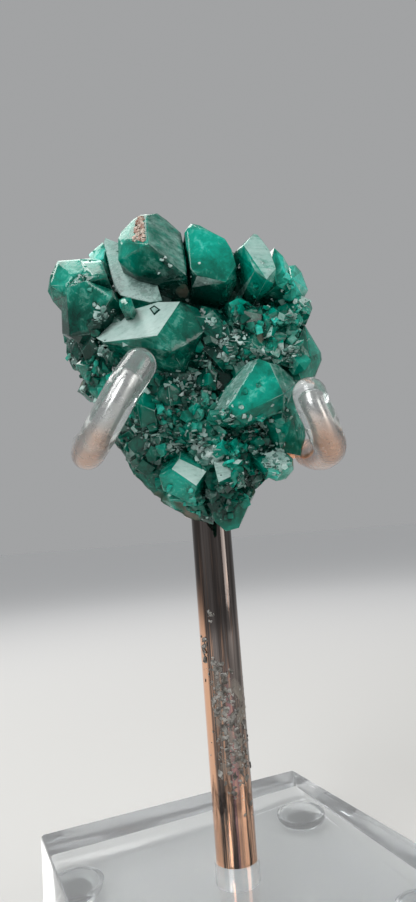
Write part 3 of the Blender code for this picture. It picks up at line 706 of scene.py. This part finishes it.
    def growAll(self):
        for field in druseLook["fields"]:
            self.growField(*field)
        for _ in range(druseLook["lumps"]):
            self.growLump()
        for _ in range(druseLook["crumbs"]):
            self.strewCrumb()
        grown = BVHTree.FromBMesh(self.bm)
        for patch in druseLook["patches"]:
            self.layFlakes(grown, *patch)
        for spot in chipSpots:
            self.strewChips(grown, *spot)
        self.crustScar()
        print("small crystals and crumbs grown", len(self.bm.faces))


# painted shade: the green is made darker the more its neighbours close round it, where shade falls in the hollows:
# reach in mm
hollowShadeLook = {"rays": 16, "reach": 1.9, "darker": 0.4, "lift": 0.02, "widest": 0.2}


def paintHollowShade(bm):
    bm.normal_update()
    tree = BVHTree.FromBMesh(bm)
    glow = bm.verts.layers.float["glow"]
    golden = math.pi * (3 - math.sqrt(5))
    ways = []
    for k in range(hollowShadeLook["rays"]):
        height = 1 - (2 * k + 1) / hollowShadeLook["rays"]
        spread = math.sqrt(1 - height * height)
        ways.append(Vector((spread * math.cos(golden * k), spread * math.sin(golden * k), height)))
    reach = hollowShadeLook["reach"] * mm
    for vert in bm.verts:
        facing = [way for way in ways if way.dot(vert.normal) > hollowShadeLook["widest"]]
        start = vert.co + vert.normal * (hollowShadeLook["lift"] * mm)
        shut = sum(tree.ray_cast(start, way, reach)[0] is not None for way in facing)
        # painted shade: darker where the rays are stopped
        vert[glow] -= hollowShadeLook["darker"] * shut / max(1, len(facing))
    print("hollows darkened", len(bm.verts))


# the diamond-shaped growth mark on the great pale face
growthMark = {
    "corners": ((154.2, 305.5), (149.5, 308.8), (154.2, 315.5), (160.5, 310.0)),  # in the picture's points
    "sunk": -0.2,  # mm
    "steps": ((0.04, 1.0, 0.0), (0.06, 0.62, 0.9)),  # height in mm, share of the outline, frost and painted sheen
}


def addGrowthMark(bm, body):
    tree = BVHTree.FromBMesh(body)
    places = [seenAt(tree, x, y)[0] for x, y in growthMark["corners"]]
    normal = (places[1] - places[0]).cross(places[2] - places[1]).normalized()
    middle = sum(places, Vector()) / 4
    for height, share, pale in growthMark["steps"]:
        low, high = [
            [bm.verts.new(middle.lerp(place, share) + normal * level * mm) for place in places]
            for level in (growthMark["sunk"], height)
        ]
        made = [bm.faces.new((low[k], low[(k + 1) % 4], high[(k + 1) % 4], high[k])) for k in range(4)]
        made.append(bm.faces.new(high))
        # painted shade: the mark's faces are made darker, as the shade round its step
        setLayers(bm, made, low + high, frost=pale, tone=0.2, glow=0.15)


gemColours = {
    "deep": (0.0, 0.034, 0.024),
    "middle": (0.0, 0.14, 0.094),
    "bright": (0.0, 0.36, 0.26),
    "glare": (0.03, 0.6, 0.48),
    "frost": (0.4, 0.61, 0.56),
    "frostAndSheenWhite": (0.7, 0.82, 0.79),
    "rock": (0.085, 0.07, 0.05),
    "rockPale": (0.25, 0.235, 0.185),
    "rockGreen": (0.02, 0.1, 0.065),
    "scarPink": (0.36, 0.2, 0.15),
    "scarCream": (0.66, 0.56, 0.47),
}

gemLook = {
    "stops": ((0.08, "deep"), (0.42, "middle"), (0.78, "bright"), (1.0, "glare")),
    "toneShare": 0.22,  # what makes the green lighter or darker
    "cloudShare": 1.1,
    "veilShare": 0.4,
    "mottleShare": 1.1,  # what breaks up the frost and painted sheen
    "lineShare": 0.6,
    "lineScale": (160, 2400, 2400),
    "lineTurn": (0.4, 0.5, 0.9),
    "frostAndSheenRange": (0.08, 0.95),
    "frostAndSheenMost": 0.92,
    "bloom": 0.2,  # thin pale veils on clear faces
    "wornAndGlinting": 0.5,
    "bump": (0.3, 0.0001),
}


# the green with its painted light and shade, clear or pale with frost and painted sheen, and how far that paleness
# covers it
def gemGreen(finish):
    look = gemLook
    tone = finish.attribute("tone")
    frost = finish.attribute("frost")
    clouds = finish.noise(380, 4, 0.6, distortion=0.6)
    veils = finish.noise(1300, 4, 0.65, distortion=1.2)
    light = finish.attribute("glow") + (tone - 0.5) * look["toneShare"] + (clouds - 0.5) * look["cloudShare"]
    light = (light + (veils - 0.5) * look["veilShare"]).clipped()
    stops = [(place, gemColours[name]) for place, name in look["stops"]]
    body = finish.node("ShaderNodeValToRGB", {"stops": stops}, {0: light})
    mottle = finish.noise(750, 6, 0.72, distortion=0.4)
    lines = finish.noise(1.0, 4, 0.6, finish.stretched(look["lineScale"], look["lineTurn"]), 0.6)
    broken = frost * 0.8 + (mottle - 0.5) * look["mottleShare"] + (lines - 0.5) * look["lineShare"]
    cover = finish.between(broken, *look["frostAndSheenRange"]) * (frost * 5.0).clipped() * look["frostAndSheenMost"]
    bloom = finish.between(veils + clouds, 1.05, 1.3) * look["bloom"]
    # pale along crisp edges: partly wear, partly a painted edge highlight
    wornAndGlinting = finish.attribute("rim") * finish.between(finish.noise(520, 3), 0.46, 0.66) * look["wornAndGlinting"]
    cover = cover.largest(bloom).largest(wornAndGlinting)
    pale = finish.mix((tone * tone * frost).clipped(), gemColours["frost"], gemColours["frostAndSheenWhite"])
    return finish.mix(cover, body, pale), cover, veils


def gemFinish():
    finish = Finish("dioptaseGreen", IOR=1.66, Transmission_Weight=0.22, Specular_IOR_Level=0.14)
    colour, cover, veils = gemGreen(finish)
    stone = finish.mix(finish.noise(1100, 6, 0.7), gemColours["rock"], gemColours["rockPale"])
    mossy = finish.between(finish.noise(260, 3, 0.6), 0.42, 0.62) * 0.8
    stone = finish.mix(mossy, stone, gemColours["rockGreen"])
    rocky = finish.attribute("rock") + (finish.noise(800, 4, 0.7) - 0.5) * 0.6
    rocky = finish.between(rocky, 0.35, 0.65)
    colour = finish.mix(rocky, colour, stone)
    scar = finish.attribute("scar")
    crusty = finish.between(finish.noise(1500, 3, 0.6), 0.4, 0.6)
    colour = finish.mix(scar, colour, finish.mix(crusty, gemColours["scarPink"], gemColours["scarCream"]))
    roughness = (0.06 + cover * 0.34 + rocky * 0.55 + scar * 0.5 + veils * 0.06).clipped()
    height = finish.noise(2400, 3, 0.5) * (0.15 + cover) + finish.noise(700, 5, 0.7) * rocky
    return finish.feed(Base_Color=colour, Roughness=roughness, Normal=finish.bump(height, *gemLook["bump"]))


def makeCluster():
    body = buildCluster()
    whole = body.copy()
    Druse(whole, body).growAll()
    addGrowthMark(whole, body)
    paintHollowShade(whole)
    body.free()
    cluster = pieceFrom(whole, "dioptaseCrystals", gemFinish(), sharpFrom=24)
    standsFor(cluster, "dioptase", "dioptase_cluster")
    print("cluster made", len(cluster.data.polygons))


# round pieces of the stand, in mm
standSizes = {
    "post": {"radius": 2.38, "low": 5.5, "high": 52.4, "edge": 0.3},
    "hub": {"radius": 3.3, "low": 50.2, "high": 54.8, "edge": 0.5, "bore": 2.58, "boreTop": 52.6},
    "foot": {"radius": 3.2, "high": 1.75, "dome": 1.3, "edge": 0.12, "reach": (15.4, 12.0)},
    # the hole: radius, floor and the cutter's top
    "block": {"side": 38.1, "low": 1.8, "high": 11.3, "bevel": 0.4, "hole": (2.58, 5.3, 20)},
}


def skin(bm, rings):
    for low, high in zip(rings, rings[1:]):
        count = max(len(low), len(high))
        for k in range(count):
            after = (k + 1) % count
            corners = [low[k % len(low)], low[after % len(low)], high[after % len(high)], high[k % len(high)]]
            bm.faces.new(list(dict.fromkeys(corners)))
    bmesh.ops.recalc_face_normals(bm, faces=bm.faces[:])


def turnedPiece(profile, name, material=None, sides=96, middle=(0, 0)):
    bm = bmesh.new()
    rings = []
    for radius, height in profile:
        count = 1 if radius == 0 else sides
        turns = [math.tau * k / count for k in range(count)]
        places = [(middle[0] + radius * math.cos(t), middle[1] + radius * math.sin(t), height) for t in turns]
        rings.append([bm.verts.new(place) for place in places])
    skin(bm, rings)
    for vert in bm.verts:
        vert.co *= mm
    return pieceFrom(bm, name, material, sharpFrom=40)


# half the outline of a disc with rounded edges, from the bottom to the top
def rounded(radius, low, high, edge, topEdge=None, steps=5, topSteps=5):
    topEdge = topEdge or edge
    under = [math.radians(90 * k / steps) for k in range(steps + 1)]
    over = [math.radians(90 * k / topSteps) for k in range(topSteps + 1)]
    start = [(radius - edge + edge * math.sin(t), low + edge - edge * math.cos(t)) for t in under]
    end = [(radius - topEdge + topEdge * math.cos(t), high - topEdge + topEdge * math.sin(t)) for t in over]
    return [(0, low), *start, *end, (0, high)]


postLook = {
    "steel": (0.075, 0.064, 0.06),
    "steelPaleReflection": (0.19, 0.165, 0.155),
    "film": (0.2, 0.18, 0.15),
    "copper": (0.8, 0.46, 0.3),
    "rose": (0.4, 0.22, 0.25),
    "leftWay": (-0.917, 0.399, 0.0),
    "rightWay": (0.917, -0.399, 0.0),
    # where the post is coloured copper, in m: a painted reflection down the left edge (how far left, below which
    # height), then copper streaks and specks lower down (below which heights)
    "leftBand": (0.0014, 0.0019),
    "leftBelow": (0.044, 0.036),
    "lowBelow": (0.0235, 0.0165),
    "glintsBelow": (0.052, 0.03),
    # the rose streak and the greyish film, also in m
    "roseRight": (0.0, 0.0004, 0.0011, 0.0007),
    "roseBelow": (0.034, 0.026),
    "filmBelow": (0.033, 0.0285),
    "filmAbove": (0.0195, 0.0235),
    "filmRight": (-0.0016, -0.0008),
}


def postFinish():
    look = postLook
    finish = Finish("agedChromeAndPaintedReflections")
    streaks = finish.noise(1.0, 4, 0.6, finish.stretched((1700, 1700, 30)))
    fine = finish.noise(1.0, 3, 0.6, finish.stretched((5200, 5200, 60)))
    height = finish.along((0, 0, 1.0))
    right = finish.along(look["rightWay"])
    left = finish.along(look["leftWay"]) + (streaks - 0.5) * 0.0009
    # painted reflection: a copper band down the left edge
    side = finish.between(left, *look["leftBand"]) * finish.between(height, *look["leftBelow"])
    low = finish.between(height + (fine - 0.5) * 0.008, *look["lowBelow"]) * finish.between(streaks, 0.44, 0.56)
    glints = finish.between(fine, 0.56, 0.68) * finish.between(height, *look["glintsBelow"]) * 0.5
    # painted reflection: light and dark vertical streaks in the metal's colour
    colour = finish.mix(finish.between(streaks, 0.4, 0.7), look["steel"], look["steelPaleReflection"])
    middle = right + (fine - 0.5) * 0.0006
    blush = finish.between(middle, *look["roseRight"][:2]) * finish.between(middle, *look["roseRight"][2:])
    blush = blush * finish.between(height, *look["roseBelow"])
    colour = finish.mix(blush * 0.8, colour, look["rose"])
    colour = finish.mix(side.largest(low).largest(glints), colour, look["copper"])
    patch = finish.between(finish.noise(420, 5, 0.7, distortion=0.8), 0.46, 0.56)
    film = patch * finish.between(height, *look["filmBelow"]) * finish.between(height, *look["filmAbove"])
    film = film * finish.between(right, *look["filmRight"])
    colour = finish.mix(film * 0.85, colour, look["film"])
    smears = finish.between(finish.noise(300, 4, 0.65), 0.5, 0.75) * 0.16
    roughness = smears + fine * 0.12 + film * 0.5 + 0.02
    return finish.feed(Base_Color=colour, Roughness=roughness, Metallic=1.0 - film * 0.9)


hubLook = {"dark": (0.34, 0.31, 0.29), "pale": (0.55, 0.5, 0.47), "roughness": (0.16, 0.4)}


def hubFinish():
    finish = Finish("headMetal", Metallic=1.0)
    shade = finish.mix(finish.noise(500, 4, 0.6), hubLook["dark"], hubLook["pale"])
    roughness = finish.between(finish.noise(900, 4), 0.3, 0.8, *hubLook["roughness"])
    return finish.feed(Base_Color=shade, Roughness=roughness)


def makePost():
    size = standSizes["post"]
    profile = rounded(size["radius"], size["low"], size["high"], size["edge"])
    post = turnedPiece(profile, "roundPost", postFinish())
    standsFor(post, "post_metal", "post")
    size = standSizes["hub"]
    outer = rounded(size["radius"], size["low"], size["high"], size["edge"])
    profile = [(0, size["boreTop"]), (size["bore"], size["boreTop"]), (size["bore"], size["low"]), *outer[1:]]
    hub = turnedPiece(profile, "postHead", hubFinish())
    standsFor(hub, "post_metal", "arm_hub")
    print("post made")


# crumbs of old glue on the post, sizes in mm
glueLook = {
    "seed": 23,
    "front": -114.0,
    "fields": [  # height, degrees round from the front, how far each spreads, how many
        (38.4, -22, 0.5, 7, 9), (34.6, -50, 1.3, 9, 30), (32.8, -22, 0.8, 8, 16), (30.2, -8, 1.6, 14, 46),
        (27.6, 8, 2.4, 20, 110), (25.0, 0, 2.0, 18, 60), (23.6, 46, 3.0, 12, 60), (21.4, 18, 1.4, 24, 50),
        (27.0, 110, 3.0, 25, 40), (31.0, 190, 2.5, 30, 30),
    ],
    "shapes": 10,
    "size": (0.09, 0.52),
    "halved": 0.55,  # how many are half as large
    "raised": 0.1,
    "flat": 0.4,
    "dark": (0.085, 0.075, 0.062),
    "pale": (0.58, 0.56, 0.52),
}


def glueFinish():
    finish = Finish("oldGlue", Roughness=0.28, Transmission_Weight=0.45, IOR=1.5)
    mottle = finish.between(finish.noise(1500, 4, 0.65), 0.36, 0.7)
    return finish.feed(Base_Color=finish.mix(mottle, glueLook["dark"], glueLook["pale"]))


def makeGlue():
    look = glueLook
    dice = random.Random(look["seed"])
    shapes = chipShapes(dice, look["shapes"])
    bm = bmesh.new()
    for height, turn, tall, wide, count in look["fields"]:
        for _ in range(count):
            angle = math.radians(look["front"] + dice.gauss(turn, wide))
            way = Vector((math.cos(angle), math.sin(angle), 0))
            size = dice.uniform(*look["size"]) * (0.5 if dice.random() < look["halved"] else 1.0)
            place = way * (standSizes["post"]["radius"] + size * look["raised"])
            place += Vector((0, 0, dice.gauss(height, tall)))
            addChip(bm, dice.choice(shapes), place * mm, way, size * mm, dice, look["flat"])
    bmesh.ops.recalc_face_normals(bm, faces=bm.faces[:])
    standsFor(pieceFrom(bm, "glueCrumbs", glueFinish()), "vinyl")
    print("glue made")


# arms: routes in the cluster's layout, as in the part's source, from the hub to the tip
armRoutes = {
    "left": {
        "route": [
            (-1.6, -13.2, -6.4), (-4.8, -10.4, -10.0), (-7.8, -7.6, -11.4), (-10.3, -6.4, -9.2),
            (-11.4, -7.0, -4.8), (-11.6, -8.6, 0.0), (-11.6, -9.6, 5.0), (-11.0, -8.6, 8.6),
            (-10.0, -6.8, 10.3), (-8.6, -4.2, 10.8), (-7.4, -2.0, 10.5), (-6.6, -0.8, 9.9),
        ],
        "sleeveFrom": 5,  # the route's point where the sleeve starts
        "beyond": 1.9,  # how far the sleeve goes past the wire
    },
    "right": {
        "route": [
            (6.2, -12.8, -6.6), (9.2, -10.8, -9.4), (12.0, -9.6, -8.8), (14.2, -9.5, -5.6),
            (15.4, -9.8, -1.6), (16.3, -9.6, 2.0), (16.9, -8.8, 5.8), (16.4, -7.2, 8.0),
            (15.7, -5.5, 8.7), (15.0, -4.0, 8.6), (14.7, -3.1, 8.2),
        ],
        "sleeveFrom": 3,
        "beyond": 0.5,
    },
    "back": {
        "route": [
            (2.5, -13.2, -8.4), (2.4, -11.2, -12.0), (2.2, -7.6, -14.0), (1.8, -3.4, -14.0),
            (1.2, 0.4, -13.0), (0.8, 3.0, -12.0),
        ],
        "sleeveFrom": 3,
        "beyond": 1.2,
    },
}
armSizes = {
    "wire": 0.8,
    "wireSides": 32,
    "wireTip": (0.2, 0.24),  # how far the rounded end draws in, and its length
    "sleeve": 1.8,
    "sleeveSides": 64,
    "bore": 0.78,  # just inside the wire's surface, so the sleeve fits tightly
    "boreEnd": (0.8, 0.46, 0.72),  # its width's share, how far past the wire, where it closes
    "lip": 0.25,
    "hubMiddle": (0, 0, 53.512),
    "leaves": (1.7, 4.1),  # from the hub's middle, where a wire starts and where it is clear
    "steps": 9,
}


def smoothPath(points, steps):
    ends = [points[0] * 2 - points[1], *points, points[-1] * 2 - points[-2]]
    path = []
    for a, b, c, d in zip(ends, ends[1:], ends[2:], ends[3:]):
        for k in range(steps):
            t = k / steps
            line = 2 * b + (c - a) * t
            path.append(0.5 * (line + (2 * a - 5 * b + 4 * c - d) * t**2 + (3 * b - a - 3 * c + d) * t**3))
    return path + [points[-1]]


def stations(path):
    ways = [(b - a).normalized() for a, b in zip(path, path[1:])]
    ways = [ways[0]] + [(a + b).normalized() for a, b in zip(ways, ways[1:])] + [ways[-1]]
    side = ways[0].orthogonal().normalized()
    found = []
    for point, way in zip(path, ways):
        side = (side - way * side.dot(way)).normalized()
        found.append((point, side, way.cross(side), way))
    return found


def ringAt(bm, station, radius, sides, slide=0.0):
    point, side, other, way = station
    made = []
    for k in range(sides):
        turn = math.tau * k / sides
        reach = way * slide + side * radius * math.cos(turn) + other * radius * math.sin(turn)
        made.append(bm.verts.new(point + reach * mm))
    return made


def arc(degrees, across, along):
    return across * math.cos(math.radians(degrees)), along * math.sin(math.radians(degrees))


def spotAt(bm, station, slide):
    return [bm.verts.new(station[0] + station[3] * slide * mm)]


wireLook = {
    "plated": (0.42, 0.41, 0.405),
    "platedPale": (0.68, 0.67, 0.665),
    "copper": (0.74, 0.36, 0.2),
    "bareBelow": (0.06, 0.0565),  # m
    "roughness": (0.22, 0.4),
}
sleeveLook = {
    "colour": (0.8, 0.84, 0.835, 1),
    "haze": (0.08, 0.18),
    "ripples": (350, 350, 900),
    "bump": (0.2, 0.0002),
}


def wireFinish():
    finish = Finish("platedWire", Metallic=1.0)
    height = finish.along((0, 0, 1.0)) + (finish.noise(260, 3) - 0.5) * 0.004
    bare = finish.between(height, *wireLook["bareBelow"])
    shade = finish.mix(finish.noise(700, 4, 0.6), wireLook["plated"], wireLook["platedPale"])
    shade = finish.mix(bare, shade, wireLook["copper"])
    roughness = finish.between(finish.noise(900, 4), 0.3, 0.8, *wireLook["roughness"])
    return finish.feed(Base_Color=shade, Roughness=roughness)


def vinylFinish():
    look = sleeveLook
    finish = Finish("milkySleeve", IOR=1.53, Transmission_Weight=0.86, Base_Color=look["colour"])
    haze = finish.between(finish.noise(350, 3), 0.4, 0.75, *look["haze"])
    ripples = finish.noise(1.0, 2, 0.5, finish.stretched(look["ripples"]))
    return finish.feed(Roughness=haze, Normal=finish.bump(ripples, *look["bump"]))


def makeWire(name, path, metal):
    wire = armSizes["wire"]
    sides = armSizes["wireSides"]
    drawIn, length = armSizes["wireTip"]
    bm = bmesh.new()
    places = stations(path)
    rings = [[bm.verts.new(path[0])]] + [ringAt(bm, place, wire, sides) for place in places]
    for turn in (20, 45, 70):
        reach, slide = arc(turn, drawIn, length)
        rings.append(ringAt(bm, places[-1], wire - drawIn + reach, sides, slide))
    rings.append(spotAt(bm, places[-1], length))
    skin(bm, rings)
    standsFor(pieceFrom(bm, f"wire{name.capitalize()}", metal, sharpFrom=50), "wire", f"arm_{name}")


def makeTube(name, path, beyond, vinyl):
    wall, bore, lip, sides = (armSizes[key] for key in ("sleeve", "bore", "lip", "sleeveSides"))
    narrow, narrowAt, closedAt = armSizes["boreEnd"]
    bm = bmesh.new()
    places = stations(path)
    first, last = places[0], places[-1]
    rings = [spotAt(bm, last, closedAt), ringAt(bm, last, bore * narrow, sides, narrowAt)]
    rings += [ringAt(bm, place, bore, sides) for place in reversed(places)]
    rings.append(ringAt(bm, first, wall - lip, sides))
    for turn in (25, 50, 75):
        slide, reach = arc(turn, lip, lip)
        rings.append(ringAt(bm, first, wall - lip + reach, sides, lip - slide))
    rings += [ringAt(bm, place, wall, sides) for place in places[1:]]
    for turn in range(0, 90, 6):
        radius, slide = arc(turn, wall, wall)
        rings.append(ringAt(bm, last, radius, sides, beyond + slide))
    rings.append(spotAt(bm, last, beyond + wall))
    skin(bm, rings)
    standsFor(pieceFrom(bm, f"tube{name.capitalize()}", vinyl, sharpFrom=60), "vinyl", f"sleeve_{name}")


def makeArms():
    metal = wireFinish()
    vinyl = vinylFinish()
    steps = armSizes["steps"]
    hub = Vector(armSizes["hubMiddle"]) * mm
    for name, given in armRoutes.items():
        points = [onFace(*point) for point in given["route"]]
        wayOut = (points[0] - hub).normalized()
        leaving = [hub + wayOut * distance * mm for distance in armSizes["leaves"]]
        path = smoothPath([*leaving, *points], steps)
        makeWire(name, path, metal)
        makeTube(name, path[(given["sleeveFrom"] + len(leaving)) * steps:], given["beyond"], vinyl)
    print("arms made")


# the clear block and its feet
clearLook = {
    "block": (0.95, 0.975, 0.99, 1),
    "foot": (0.93, 0.95, 0.95, 1),
    "scuffScale": (90, 260, 200),
    "scuffs": (0.0, 0.13),  # roughness from clear to scuffed
    "footHaze": (0.03, 0.12),
}


def blockMesh():
    size = standSizes["block"]
    bm = bmesh.new()
    bmesh.ops.create_cube(bm, size=1.0)
    for vert in bm.verts:
        vert.co.x *= size["side"] * mm
        vert.co.y *= size["side"] * mm
        vert.co.z = ((size["low"] + size["high"]) / 2 + vert.co.z * (size["high"] - size["low"])) * mm
    bmesh.ops.bevel(bm, geom=bm.edges[:], offset=size["bevel"] * mm, segments=4, profile=0.5, affect="EDGES")
    solid = pieceFrom(bm, "blockSolid")
    radius, floor, above = size["hole"]
    hole = turnedPiece([(0, floor), (radius, floor), (radius, above), (0, above)], "blockHole")
    cut = solid.modifiers.new("hole", "BOOLEAN")
    cut.object = hole
    made = bpy.data.meshes.new_from_object(solid.evaluated_get(bpy.context.evaluated_depsgraph_get()))
    bpy.data.objects.remove(solid)
    bpy.data.objects.remove(hole)
    return made


def makeBlock():
    made = blockMesh()
    finish = Finish("clearAcrylic", IOR=1.49, Transmission_Weight=0.9, Base_Color=clearLook["block"])
    scuffs = finish.noise(1.0, 4, 0.7, finish.stretched(clearLook["scuffScale"]))
    made.materials.clear()
    made.materials.append(finish.feed(Roughness=finish.between(scuffs, 0.5, 0.72, *clearLook["scuffs"])))
    smoothOut(made, 30)
    standsFor(added("clearBlock", made), "acrylic", "acrylic_block")
    print("block made")


def makeFeet():
    finish = Finish("clearBumper", IOR=1.45, Transmission_Weight=0.93, Base_Color=clearLook["foot"])
    haze = finish.between(finish.noise(500, 3), 0.4, 0.8, *clearLook["footHaze"])
    bumper = finish.feed(Roughness=haze)
    foot = standSizes["foot"]
    profile = rounded(foot["radius"], 0.0, foot["high"], foot["dome"], foot["edge"], 10)
    for index, (x, y) in enumerate([(-1, -1), (1, -1), (1, 1), (-1, 1)]):
        middle = (x * foot["reach"][0], y * foot["reach"][1])
        piece = turnedPiece(profile, f"bumper{index + 1}", bumper, 64, middle)
        standsFor(piece, "bumper", f"foot_{index + 1}")
    print("feet made")


cameraTurn = setCamera()
buildStudio(cameraTurn)
makeCluster()
makePost()
makeGlue()
makeArms()
makeBlock()
makeFeet()
bpy.context.scene.view_settings.view_transform = "Standard"
